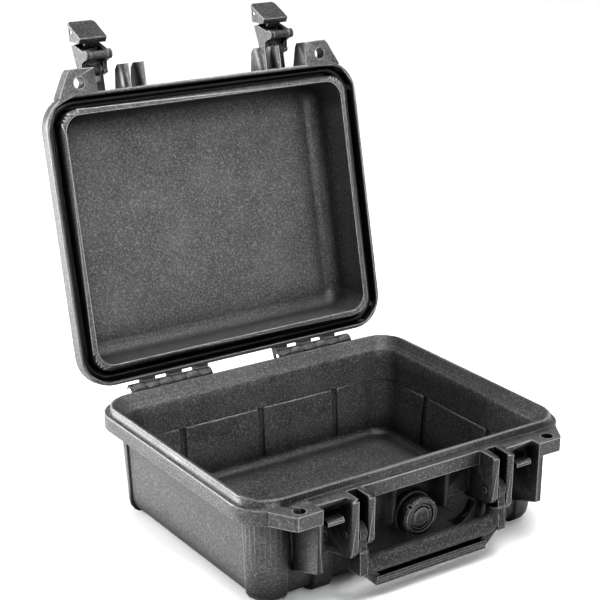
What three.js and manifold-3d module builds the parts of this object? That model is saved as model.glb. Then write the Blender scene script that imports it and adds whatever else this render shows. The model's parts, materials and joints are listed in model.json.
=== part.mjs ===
// Hard equipment case: a deep base, a hinged lid with a sealing ring, two double-throw latches,
// a swinging carry handle, padlock tabs and a pressure vent. Millimetres, +Z up, front towards -Y.
// The origin is the centre of the base's underside. The lid, latches and handle stand as on an
// open case: the lid tipped back on its stop, the latches thrown open and the handle hanging.
import * as THREE from "three";
import { mergeVertices } from "three/addons/utils/BufferGeometryUtils.js";
import Module from "manifold-3d";

const wasm = await Module();
wasm.setup();

// ---------------------------------------------------------------- overall sizes
const caseWidth = 270; // flange, side to side
const caseDepth = 212.4; // flange, front to back
const baseHeight = 77.5; // underside to the parting plane
const lidHeight = 46; // parting plane to the top of the lid's ribs
const cornerRadius = 25; // flange corners in plan
const wall = 3;

// ---------------------------------------------------------------- clearances
const gap = 0.3; // between pieces that touch or turn in each other
const partingGap = 0.4; // between the closed lid and the base
const slotGap = 0.8; // beside a handle arm in its slot
const bayGap = 1; // beside a latch in its bay

// ---------------------------------------------------------------- rims and walls
const baseFlangeHeight = 11;
const lidFlangeHeight = 9.5;
const flangeOverhang = 12; // flange edge to the body wall at the rim
const edgeBevel = 0.6;
const overhangRise = 5.5; // height of the slope under the flange
const baseDraft = 3; // how far the base wall leans in from rim to floor
const lidDraft = 1.6;
const bodyCornerRadius = 18;
const baseEdgeRadius = 10; // outside, wall to underside
const floorFillet = 5.5;
const lidEdgeRadius = 6;
const ceilingFillet = 10;
const openingCornerRadius = 13;
const footHeight = 2.2;
const ribHeight = 5.5; // raised ribs on top of the lid

// ---------------------------------------------------------------- seal
const outerLand = 3; // flat edge outside the lid's groove
const grooveWidth = 7.7;
const grooveDepth = 9.3;
const sealDiameter = 3.6;
const sealInset = 6.2; // flange edge to the seal's centre
const tongueClearance = 0.6; // groove wall to tongue
const tongueHeight = 5;
const tongueTopInset = 6.9; // flange edge to the tongue's inner top edge
const tongueFootInset = 10; // flange edge to where the tongue meets the land level
const rimStep = 0.9; // the two fine steps inside the rim

// ---------------------------------------------------------------- cavity relief
const ledgeDrop = 28.6; // parting plane to the ledge in the base cavity
const ledgeWidth = 0.9;
const panelGrooveWidth = 6;
const panelGrooveDepth = 1.7; // behind the panels
const panelGrooveSpacing = 69;
const sideGrooveSpacing = 74;

// ---------------------------------------------------------------- hinge
const hingeReach = 7.6; // flange's rear edge to the hinge axis
const knuckleRadius = 5.5;
const hingePinRadius = 2.2;
const hingeInnerX = 30.8; // inner end of each hinge
const knuckleLength = 10.85;
const knuckleGap = 0.6;
const knucklesPerHinge = 6;
const lidOpenAngle = 103.2;

// ---------------------------------------------------------------- front hardware
const lugReach = 14.8; // flange's front edge to the front of the base's lugs
const lidLugReach = 17.2; // and of the lid's
const innerLugX = [50.2, 55.1];
const handleArmThickness = 6.2;
const outerLugThickness = 5.2;
const outerLugX = [innerLugX[1] + handleArmThickness + 2 * slotGap];
outerLugX.push(outerLugX[0] + outerLugThickness);
const latchWidth = 21;
const guardX = [outerLugX[1] + latchWidth + 2 * bayGap];
const guardThickness = 4.2;
guardX.push(guardX[0] + guardThickness);
const innerLugDrop = 36;
const outerLugDrop = 43;
const guardDrop = 44.6;
const tabThickness = 10;
const tabOuterX = 112.4;
const tabRootX = 122;
const padlockHoleRadius = 4.3;
const padlockHoleX = 104.6;
const padlockHoleReach = 7.4; // flange's front edge to the hole's centre
const shortRibX = [20.5, 24.5];
const panelDrop = 36; // parting plane to the foot of the short ribs and front panels

// ---------------------------------------------------------------- handle
const handlePivotReach = 7.5; // flange's front edge to the pivot axis
const handlePivotDrop = 26.9; // parting plane to the pivot axis
const handlePinRadius = 2.2;
const pinHeadRadius = 2.9;
const pinHeadHeight = 0.6;
const pinChamfer = 0.3;
const handleEyeRadius = 7.6;
const gripRadius = 6.5;
const gripDrop = 26.1; // pivot axis to the grip's centre
const gripForward = 2.3; // grip's centre in front of the pivot axis
const gripBend = 14;
const skidDrop = 41; // pivot axis to the bottom of the outer bar
const skidThickness = 6.6;
const skidDepth = 9.5;
const skidEndDepth = 6.5; // where the outer bar turns up to the arms
const skidGroove = 1.1;
const skidChamfer = 15.2;

// ---------------------------------------------------------------- latches
const latchPinReach = 15.1; // flange's front edge to the lid's latch pin
const latchPinRise = 26.5; // parting plane to the lid's latch pin
const latchPinRadius = 1.5;
const latchEyeRadius = 4.5;
const latchCheek = 3.5;
const latchEarThickness = 2.5;
const armLength = 29.4; // lid pin to lever pin
const armOpenAngle = 102.8;
const leverOpenAngle = 140.1;
const armPlate = [-3.6, 1.8]; // plate's outer and inner faces from the pin line
const armBarRadius = 3;
const armBarOffset = [13.6, -7.9]; // bar's centre from the lid pin, hanging closed
const leverCheek = 3;
const leverPinRadius = 1.3;
const leverEyeRadius = 2.8;
const leverTop = 7.3; // lever pin up to the pad's top edge
const leverBottom = 15.3; // lever pin down to the pad's lip
const leverFace = 4.9; // lever pin out to the pad's face
const leverPad = 1.7;
const leverLip = 4.8;
const leverPadOverhang = 0.7; // pad beyond the lever's cheeks, each side
const leverPadCorner = 4.5;
const leverCheekTip = [7, -1.6];
const hookTop = 12; // lever pin down to the hook's bearing face
const hookReach = 5; // lever pin back to the hook's tip
const hookGap = 0.4;
const catchHeight = 3.6;
const catchOverlap = 2.7;

// ---------------------------------------------------------------- pressure vent
const ventDrop = 36.4;
const ventHeadRadius = 14;
const ventHeadReach = 1.6; // in front of the flange's front edge
const ventBossRadius = 16.5;
const ventBossHeight = 4.5;
const ventStemRadius = 6.8;
const ventChannelRadius = 2.6;
const ventCapRadius = 9.8;
const ventCapThickness = 1.6;
const ventMembraneRadius = 5.4;
const ventNutRadius = 10.5;
const ventNutThickness = 4.5;
const ventSealRadii = [8.8, 12];

// ---------------------------------------------------------------- derived places
const halfWidth = caseWidth / 2;
const halfDepth = caseDepth / 2;
const front = -halfDepth;
const lugFront = front - lugReach;
const lidLugFront = front - lidLugReach;
const bodyInset = flangeOverhang;
const cavityInset = flangeOverhang + wall;
const floorZ = -(baseHeight - footHeight - wall + 0.5);
const underZ = -(baseHeight - footHeight);
const ceilingZ = lidHeight - ribHeight - wall;
const lidTopZ = lidHeight - ribHeight;
const hingeY = halfDepth + hingeReach;
const handlePivot = [front - handlePivotReach, -handlePivotDrop];
const latchPin = [front - latchPinReach, latchPinRise];
const latchCentreX = (outerLugX[1] + guardX[0]) / 2;
const handleCentreX = (innerLugX[1] + outerLugX[0]) / 2;
const arcSegments = 8; // per quarter turn of the plan corners

// ---------------------------------------------------------------- solids
// A closed geometry as a solid that can be joined and cut.
function solidOf(geometry) {
  geometry.deleteAttribute("normal");
  geometry.deleteAttribute("uv");
  const merged = mergeVertices(geometry, 1e-4);
  return new wasm.Manifold(
    new wasm.Mesh({
      numProp: 3,
      vertProperties: merged.attributes.position.array,
      triVerts: new Uint32Array(merged.index.array),
    }),
  );
}

function geometryOf(solid) {
  const mesh = solid.getMesh();
  const geometry = new THREE.BufferGeometry();
  geometry.setAttribute("position", new THREE.BufferAttribute(mesh.vertProperties, 3));
  geometry.setIndex(new THREE.BufferAttribute(mesh.triVerts, 1));
  geometry.computeVertexNormals();
  return geometry;
}

function join(...solids) {
  return solids.flat(Infinity).reduce((a, b) => a.add(b));
}

function cut(body, ...tools) {
  return tools.flat(Infinity).reduce((a, b) => a.subtract(b), body);
}

function shapeOf(points) {
  return new THREE.Shape(points.map(([u, v]) => new THREE.Vector2(u, v)));
}

function extrusion(shape, depth, matrix) {
  const options = { depth, bevelEnabled: false };
  return solidOf(new THREE.ExtrudeGeometry(shape, options).applyMatrix4(matrix));
}

const X = new THREE.Vector3(1, 0, 0);
const Y = new THREE.Vector3(0, 1, 0);
const Z = new THREE.Vector3(0, 0, 1);

// A shape drawn in (y, z), from x0 to x1.
function alongX(shape, x0, x1) {
  const matrix = new THREE.Matrix4().makeBasis(Y, Z, X).setPosition(x0, 0, 0);
  return extrusion(shape, x1 - x0, matrix);
}

// A shape drawn in (x, z), from y0 to y1.
function alongY(shape, y0, y1) {
  const matrix = new THREE.Matrix4().makeBasis(X, Z, Y.clone().negate()).setPosition(0, y1, 0);
  return extrusion(shape, y1 - y0, matrix);
}

// A shape drawn in (x, y), from z0 to z1.
function alongZ(shape, z0, z1) {
  const matrix = new THREE.Matrix4().makeTranslation(0, 0, z0);
  return extrusion(shape, z1 - z0, matrix);
}

// Points of an arc; a full circle when `sweep` is left out.
function arc(u, v, radius, segments, start = 0, sweep = 2 * Math.PI) {
  const count = sweep === 2 * Math.PI ? segments : segments + 1;
  return Array.from({ length: count }, (_, i) => {
    const angle = start + (i / segments) * sweep;
    return [u + radius * Math.cos(angle), v + radius * Math.sin(angle)];
  });
}

function disc(u, v, radius, segments = 20) {
  return shapeOf(arc(u, v, radius, segments));
}

function box(x0, x1, y0, y1, z0, z1) {
  const geometry = new THREE.BoxGeometry(x1 - x0, y1 - y0, z1 - z0);
  return solidOf(geometry.translate((x0 + x1) / 2, (y0 + y1) / 2, (z0 + z1) / 2));
}

// Both hands of a solid that is drawn for the right-hand side between x0 and x1.
function bothSides(shape, x0, x1) {
  return [alongX(shape, x0, x1), alongX(shape, -x1, -x0)];
}

// Turned about X, from a profile of [radius, x] that starts and ends on the axis or closes on itself.
function turnedX(profile, segments) {
  const points = profile.map(([r, x]) => new THREE.Vector2(r, x));
  return solidOf(new THREE.LatheGeometry(points, segments).rotateZ(-Math.PI / 2));
}

// Turned about Y, from a profile of [radius, y] in rising y on its outside.
function turnedY(profile, segments) {
  return solidOf(new THREE.LatheGeometry(profile.map(([r, y]) => new THREE.Vector2(r, y)), segments));
}

// A round-cornered block whose outline changes with height. Each level is [z, inset, corner radius],
// the inset being measured in from the flange's edge.
function tray(levels) {
  const reference = 2;
  const outline = [];
  for (const [sx, sy, start] of [[1, 1, 0], [-1, 1, 1], [-1, -1, 2], [1, -1, 3]])
    for (let i = 0; i <= arcSegments; i++) {
      const angle = (start + i / arcSegments) * (Math.PI / 2);
      outline.push([sx * reference + Math.cos(angle), sy * reference + Math.sin(angle)]);
    }
  const geometry = new THREE.ExtrudeGeometry(shapeOf(outline), {
    depth: levels.length - 1,
    steps: levels.length - 1,
    bevelEnabled: false,
  });
  const position = geometry.attributes.position;
  for (let i = 0; i < position.count; i++) {
    const [z, inset, radius] = levels[Math.round(position.getZ(i))];
    const sx = Math.sign(position.getX(i));
    const sy = Math.sign(position.getY(i));
    position.setXYZ(
      i,
      sx * (halfWidth - inset - radius) + (position.getX(i) - sx * reference) * radius,
      sy * (halfDepth - inset - radius) + (position.getY(i) - sy * reference) * radius,
      z,
    );
  }
  return solidOf(geometry);
}

// Levels of a quarter-round edge between a wall at `inset` and a flat face at height `face`.
// `side` is 1 where the flat face is above the wall and -1 where it is below.
function roundEdge(face, side, inset, radius, corner, steps = 4) {
  const levels = [];
  for (let i = 0; i <= steps; i++) {
    const angle = (i / steps) * (Math.PI / 2);
    const rise = radius * Math.sin(angle);
    const run = radius * (1 - Math.cos(angle));
    levels.push([face - side * (radius - rise), inset + run, Math.max(corner - run, 2)]);
  }
  return side > 0 ? levels : levels.reverse();
}

// ---------------------------------------------------------------- base
function baseOuter() {
  const overhangZ = -baseFlangeHeight - overhangRise;
  return tray([
    ...roundEdge(underZ, -1, bodyInset + baseDraft, baseEdgeRadius, bodyCornerRadius),
    [overhangZ, bodyInset, bodyCornerRadius],
    [-baseFlangeHeight, edgeBevel, cornerRadius],
    [-baseFlangeHeight + edgeBevel, 0, cornerRadius],
    [-edgeBevel, 0, cornerRadius],
    [0, edgeBevel, cornerRadius - edgeBevel],
  ]);
}

function tongue() {
  const toe = outerLand + tongueClearance;
  return tray([
    [-wall, toe, cornerRadius - toe],
    [tongueHeight - edgeBevel, toe + edgeBevel, cornerRadius - toe],
    [tongueHeight, toe + 2 * edgeBevel, cornerRadius - toe],
  ]);
}

function baseCavity() {
  const bottomInset = cavityInset + baseDraft;
  const cavityCorner = bodyCornerRadius - wall;
  return tray([
    ...roundEdge(floorZ, -1, bottomInset + ledgeWidth, floorFillet, cavityCorner),
    [-ledgeDrop, cavityInset + ledgeWidth + baseDraft / 3, cavityCorner],
    [-ledgeDrop + ledgeWidth / 2, cavityInset + baseDraft / 3, cavityCorner],
    [-baseFlangeHeight - wall, cavityInset, cavityCorner],
    [-tongueHeight, cavityInset, openingCornerRadius],
    [-tongueHeight / 2 - rimStep / 4, cavityInset - 2, openingCornerRadius + 1],
    [-tongueHeight / 2, cavityInset - 2 - rimStep, openingCornerRadius + 1],
    [-edgeBevel, tongueFootInset + rimStep, cornerRadius - tongueFootInset - rimStep],
    [-edgeBevel / 2, tongueFootInset, cornerRadius - tongueFootInset],
    [tongueHeight + edgeBevel, tongueTopInset - edgeBevel / 2, cornerRadius - tongueTopInset],
  ]);
}

// Upright grooves that divide the cavity's walls into panels below the ledge, and lean as the walls do.
function panelGrooves() {
  const bottom = floorZ + floorFillet;
  const top = -ledgeDrop + ledgeWidth;
  const half = panelGrooveWidth / 2;
  const panelInset = cavityInset + ledgeWidth - panelGrooveDepth;
  const [low, high] = [panelInset + baseDraft, panelInset + baseDraft / 3];
  const section = (edge) =>
    shapeOf([
      [edge - low - 2 * panelGrooveDepth, bottom],
      [edge - low, bottom],
      [edge - high, top],
      [edge - high - 3 * panelGrooveDepth, top],
    ]);
  const groove = (edge, middle) => alongX(section(edge), middle - half, middle + half);
  const rear = [-panelGrooveSpacing, 0, panelGrooveSpacing].map((x) => groove(halfDepth, x));
  const side = [-1, 1].flatMap((s) => {
    const right = groove(halfWidth, (s * sideGrooveSpacing) / 2).rotate([0, 0, -90]);
    return [right, right.rotate([0, 0, 180])];
  });
  return [...rear, ...side];
}

// Thickened corners that reach below the underside as feet.
function cornerBumpers() {
  const proud = 1.3;
  const reachX = 36;
  const reachY = 30;
  const top = -baseFlangeHeight - overhangRise / 2;
  const block = tray([
    ...roundEdge(-baseHeight, -1, bodyInset + baseDraft - proud, baseEdgeRadius, bodyCornerRadius),
    [top, bodyInset - proud, bodyCornerRadius],
  ]);
  const x = halfWidth - reachX;
  const y = halfDepth - reachY;
  const corners = [];
  for (const sx of [-1, 1])
    for (const sy of [-1, 1]) {
      const [x0, x1] = [sx * x, sx * halfWidth].sort((a, b) => a - b);
      const [y0, y1] = [sy * y, sy * halfDepth].sort((a, b) => a - b);
      corners.push(box(x0, x1, y0, y1, -baseHeight - 1, top));
    }
  return block.intersect(join(corners));
}

// Ribs that run down the front and rear walls and turn under the case as feet, and a centre pad.
function footRibs() {
  const wallY = halfDepth - bodyInset;
  const proud = 2.6;
  const outline = (s) =>
    shapeOf([
      [s * (wallY - 30), underZ + wall],
      [s * (wallY - 30), -baseHeight],
      [s * (wallY - baseEdgeRadius), -baseHeight],
      [s * (wallY - 3.4), -baseHeight + 2.6],
      [s * (wallY - 0.6 + 0.2 * proud), -baseHeight + baseEdgeRadius * 0.9],
      [s * (wallY + proud * 0.6), -baseHeight / 2 - 8],
      [s * (wallY - wall / 2), -baseHeight / 2],
      [s * (wallY - wall - baseDraft + 0.6), -baseHeight + baseEdgeRadius * 1.6],
    ]);
  const x0 = 64;
  const x1 = 78;
  const pad = tray([
    [-baseHeight, halfDepth - 26, 8],
    [underZ + wall / 2, halfDepth - 28, 8],
  ]);
  const ribs = [1, -1].flatMap((s) => bothSides(outline(s), x0, x1));
  return [...ribs, pad.intersect(box(-60, 60, -halfDepth, halfDepth, -baseHeight, 0))];
}

// A plate that carries the padlock hole, drawn for one side (s = 1 right, -1 left).
function padlockTab(s, z0, z1, tabFront) {
  const cornerCut = 2;
  const outline = shapeOf([
    [s * guardX[0], front + wall],
    [s * guardX[0], tabFront],
    [s * (tabOuterX - cornerCut), tabFront - 0.4],
    [s * (tabOuterX + 0.4), tabFront + cornerCut],
    [s * tabRootX, front + 2.2],
    [s * (tabRootX - 8), front + 12],
  ]);
  const hole = disc(s * padlockHoleX, front - padlockHoleReach, padlockHoleRadius, 24);
  return alongZ(outline, z0, z1).subtract(alongZ(hole, z0 - 1, z1 + 1));
}

function lugOutline(drop, back) {
  const top = -0.5;
  const root = front + flangeOverhang + 1;
  return shapeOf([
    [root, top - wall],
    [front + wall, top - wall],
    [front + wall, top],
    [lugFront + 1.5, top],
    [lugFront, top - 1.5],
    [lugFront, -drop + 4],
    [lugFront + 1.3, -drop + 1.2],
    [lugFront + 4.4, -drop],
    [root, -drop - back],
  ]);
}

function baseLugs() {
  const holes = bothSides(disc(...handlePivot, handlePinRadius + gap), innerLugX[0] - 1, outerLugX[1] + 1);
  const lugs = [
    ...bothSides(lugOutline(innerLugDrop, 3), ...innerLugX),
    ...bothSides(lugOutline(outerLugDrop, 5), ...outerLugX),
  ];
  return cut(join(lugs), holes);
}

function baseGuards() {
  const outline = shapeOf([
    [front + flangeOverhang + 1, -wall],
    [lugFront, -wall],
    [lugFront, -guardDrop],
    [front + flangeOverhang + 1.6, -guardDrop - 9.8],
  ]);
  return bothSides(outline, ...guardX);
}

// The rim's shelf across each latch bay, which stops short of the closed lever's cheeks.
function bayShelves() {
  const depth = 4;
  const reach = latchPin[0] + Math.hypot(...leverCheekTip) + slotGap;
  const shelf = shapeOf([
    [front + wall, 0],
    [reach + edgeBevel, 0],
    [reach, -edgeBevel],
    [reach, -depth],
    [front + wall, -depth - 4],
  ]);
  return bothSides(shelf, outerLugX[1] - 1, guardX[0] + 1);
}

// The ledge in each latch bay that the latch's hook bears up against.
function baseCatches() {
  const top = latchPinRise - armLength - hookTop + hookGap + catchHeight;
  const tip = latchPin[0] + hookReach - catchOverlap;
  const outline = shapeOf([
    [front + flangeOverhang + 1, top - catchHeight - 9],
    [front + 2, top - catchHeight],
    [tip, top - catchHeight],
    [tip, top - 1.5],
    [tip + 1.5, top],
    [front + flangeOverhang + 1, top],
  ]);
  const half = latchWidth / 2 - leverCheek - bayGap;
  return bothSides(outline, latchCentreX - half, latchCentreX + half);
}

function hingeKnuckles(isLid) {
  const side = isLid ? 1 : -1;
  const reach = isLid ? [partingGap, lidFlangeHeight - 1.5] : [-baseFlangeHeight + 2, 0];
  const parts = [];
  for (let i = 0; i < knucklesPerHinge; i++) {
    if ((i % 2 === 0) !== isLid) continue;
    const x0 = hingeInnerX + i * (knuckleLength + knuckleGap);
    const x1 = x0 + knuckleLength;
    const tangent = side * knuckleRadius * 0.92;
    const web = shapeOf([
      [halfDepth - wall, reach[0]],
      [halfDepth - wall, reach[1]],
      [hingeY + 1, isLid ? tangent : 0],
      [hingeY + 1, isLid ? 0 : tangent],
      [halfDepth + 0.5, isLid ? reach[0] : reach[0] + 0.5],
    ]);
    parts.push(...bothSides(disc(hingeY, 0, knuckleRadius), x0, x1), ...bothSides(web, x0, x1));
  }
  const hole = disc(hingeY, 0, hingePinRadius + gap);
  return cut(join(parts), bothSides(hole, hingeInnerX - 1, halfWidth));
}

function shortRibs() {
  const outline = shapeOf([
    [front + flangeOverhang + 1, -baseFlangeHeight],
    [front + 0.6, -baseFlangeHeight],
    [front + 2.2, -panelDrop],
    [front + flangeOverhang + 1.6, -panelDrop - 1.5],
  ]);
  return bothSides(outline, ...shortRibX);
}

// Slightly raised panels on the front wall, between each short rib and the lug beside it.
function frontPanels() {
  const face = front + flangeOverhang - 1.7;
  const outline = shapeOf([
    [front + flangeOverhang + 1, -baseFlangeHeight],
    [face, -baseFlangeHeight],
    [face, -panelDrop + 1.5],
    [front + flangeOverhang + 1.4, -panelDrop - 0.5],
  ]);
  return bothSides(outline, shortRibX[1] - 1, innerLugX[0] + 1);
}

// Curved ridges on the front wall that follow the handle's corners.
function pocketRidges() {
  const centre = [38, -41];
  const radius = 20.2;
  const thickness = 1.3;
  const start = THREE.MathUtils.degToRad(-78);
  const end = THREE.MathUtils.degToRad(-14);
  const wallY = front + flangeOverhang;
  return [1, -1].map((s) => {
    const edge = (r) => arc(...centre, r, 8, start, end - start).map(([x, z]) => [s * x, z]);
    const outline = [...edge(radius), ...edge(radius - thickness).reverse()];
    return alongY(shapeOf(outline), wallY - 1.6, wallY + 2.4);
  });
}

function ventBoss() {
  const wallY = front + flangeOverhang;
  return turnedY(
    [
      [0, wallY - ventBossHeight],
      [ventBossRadius - 1.5, wallY - ventBossHeight],
      [ventBossRadius, wallY - ventBossHeight + 1.5],
      [ventBossRadius, wallY + 2],
      [0, wallY + 2],
    ],
    36,
  ).translate(0, 0, -ventDrop);
}

function baseShell() {
  const ventHole = alongY(disc(0, -ventDrop, ventStemRadius + gap), front, front + 40);
  const body = join(
    baseOuter(),
    tongue(),
    cornerBumpers(),
    footRibs(),
    padlockTab(1, -tabThickness, 0, lugFront),
    padlockTab(-1, -tabThickness, 0, lugFront),
    baseLugs(),
    baseGuards(),
    baseCatches(),
    bayShelves(),
    hingeKnuckles(false),
    shortRibs(),
    frontPanels(),
    pocketRidges(),
    ventBoss(),
  );
  return cut(body, baseCavity(), panelGrooves(), ventHole);
}

// ---------------------------------------------------------------- lid
function lidOuter() {
  const overhangZ = lidFlangeHeight + overhangRise;
  return tray([
    [partingGap, edgeBevel, cornerRadius - edgeBevel],
    [partingGap + edgeBevel, 0, cornerRadius],
    [lidFlangeHeight - edgeBevel, 0, cornerRadius],
    [lidFlangeHeight, edgeBevel, cornerRadius],
    [overhangZ, bodyInset, bodyCornerRadius],
    ...roundEdge(lidTopZ, 1, bodyInset + lidDraft, lidEdgeRadius, bodyCornerRadius),
  ]);
}

function lidCavity() {
  const cavityCorner = bodyCornerRadius - wall;
  return tray([
    [-1, cavityInset, openingCornerRadius],
    [partingGap + 1.5, cavityInset, openingCornerRadius],
    [lidFlangeHeight + overhangRise - 2, cavityInset + 0.4, cavityCorner],
    ...roundEdge(ceilingZ, 1, cavityInset + lidDraft, ceilingFillet, cavityCorner, 5),
  ]);
}

function lidGroove() {
  const inner = outerLand + grooveWidth;
  const outside = tray([
    [-1, outerLand, cornerRadius - outerLand],
    [grooveDepth, outerLand, cornerRadius - outerLand],
  ]);
  const inside = tray([
    [-2, inner, cornerRadius - inner],
    [grooveDepth + 1, inner, cornerRadius - inner],
  ]);
  return outside.subtract(inside);
}

function lidLugs() {
  const root = front + flangeOverhang + 1;
  const outline = shapeOf([
    [root, lidFlangeHeight],
    [front + wall, partingGap + edgeBevel],
    [lidLugFront, partingGap + edgeBevel],
    [lidLugFront, 9.5],
    [lidLugFront + 3.5, 13.5],
    [front, 17],
    [root, 21],
  ]);
  return [...bothSides(outline, ...innerLugX), ...bothSides(outline, ...outerLugX)];
}

function lidGuards() {
  const root = front + flangeOverhang + 1;
  const outline = shapeOf([
    [root, lidFlangeHeight],
    [front + wall, tabThickness / 2],
    [lidLugFront, tabThickness / 2],
    [lidLugFront, 11],
    [lidLugFront + 3, 13.5],
    [front, 19],
    [root, 23],
  ]);
  return bothSides(outline, ...guardX);
}

// Two ears in each latch bay that hold the latch pin.
function latchEars() {
  const [pinY, pinZ] = latchPin;
  const root = front + flangeOverhang + 2;
  const arm = shapeOf([
    [pinY, pinZ - latchEyeRadius + 0.8],
    [root, pinZ - latchEyeRadius + 0.8],
    [root, pinZ + latchEyeRadius + 3],
    [pinY + 7, pinZ + latchEyeRadius],
    [pinY, pinZ + latchEyeRadius],
  ]);
  const web = shapeOf([
    [pinY + 8.5, pinZ - latchEyeRadius + 0.8],
    [root, pinZ - latchEyeRadius + 0.8],
    [root, pinZ + latchEyeRadius + 2],
    [pinY + 8.5, pinZ + latchEyeRadius - 1],
  ]);
  const outer = latchWidth / 2 - latchCheek - gap * 2;
  const inner = outer - latchEarThickness;
  const ears = [-1, 1].flatMap((s) => {
    const [x0, x1] = [latchCentreX + s * inner, latchCentreX + s * outer].sort((a, b) => a - b);
    return [...bothSides(arm, x0, x1), ...bothSides(disc(pinY, pinZ, latchEyeRadius), x0, x1)];
  });
  const webs = bothSides(web, latchCentreX - outer, latchCentreX + outer);
  const hole = disc(pinY, pinZ, latchPinRadius + gap);
  return cut(join(ears, webs), bothSides(hole, outerLugX[1], guardX[0]));
}

// A raised frame and lengthwise ribs on top of the lid.
function lidRibs() {
  const frameInset = 32;
  const frameWidth = 8;
  const slope = 1.2;
  const frame = tray([
    [lidTopZ - 1, frameInset - slope, 16],
    [lidHeight, frameInset, 16],
  ]).subtract(
    tray([
      [lidTopZ - 2, frameInset + frameWidth + slope, 10],
      [lidHeight + 1, frameInset + frameWidth, 10],
    ]),
  );
  const spacing = 21;
  const reach = halfWidth - frameInset - frameWidth / 2;
  const rib = (y) =>
    shapeOf([
      [y - 4.2, lidTopZ - 1],
      [y + 4.2, lidTopZ - 1],
      [y + 3, lidHeight - 1.5],
      [y - 3, lidHeight - 1.5],
    ]);
  return [frame, ...[-spacing, 0, spacing].map((y) => alongX(rib(y), -reach, reach))];
}

function lidShell() {
  const outer = join(
    lidOuter(),
    lidRibs(),
    padlockTab(1, partingGap, tabThickness, lidLugFront),
    padlockTab(-1, partingGap, tabThickness, lidLugFront),
    lidLugs(),
    lidGuards(),
    latchEars(),
    hingeKnuckles(true),
  );
  return cut(outer, lidCavity(), lidGroove());
}

function lidGasket() {
  const r = sealDiameter / 2;
  const flat = r * 0.4;
  const z = grooveDepth - gap - r;
  const corner = cornerRadius - sealInset;
  const outside = tray([
    [z - r, sealInset - flat, corner],
    [z - flat, sealInset - r, corner],
    [z + flat, sealInset - r, corner],
    [z + r, sealInset - flat, corner],
  ]);
  const inside = tray([
    [z - r - 1, sealInset + flat - 1, corner],
    [z - r, sealInset + flat, corner],
    [z - flat, sealInset + r, corner],
    [z + flat, sealInset + r, corner],
    [z + r, sealInset + flat, corner],
    [z + r + 1, sealInset + flat - 1, corner],
  ]);
  return outside.subtract(inside);
}

// ---------------------------------------------------------------- hinge pins
function hingePin() {
  const length = knucklesPerHinge * (knuckleLength + knuckleGap) - knuckleGap;
  const r = hingePinRadius;
  return turnedX(
    [
      [0, 0.3],
      [r - 0.4, 0.3],
      [r, 0.7],
      [r, length + gap],
      [r + 0.8, length + gap],
      [r + 0.8, length + gap + 0.7],
      [r, length + gap + 1.2],
      [0, length + gap + 1.2],
    ],
    20,
  );
}

// ---------------------------------------------------------------- handle
// A pin that bridges both lugs of one side, with a head on each outer face, centred on x = 0.
function handlePin() {
  const half = (outerLugX[1] - innerLugX[0]) / 2 + gap;
  const side = (s) => [
    [handlePinRadius, s * half],
    [pinHeadRadius, s * half],
    [pinHeadRadius - 0.5, s * (half + pinHeadHeight)],
    [0, s * (half + pinHeadHeight)],
  ];
  return turnedX([...side(-1).reverse(), ...side(1)], 20);
}

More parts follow.
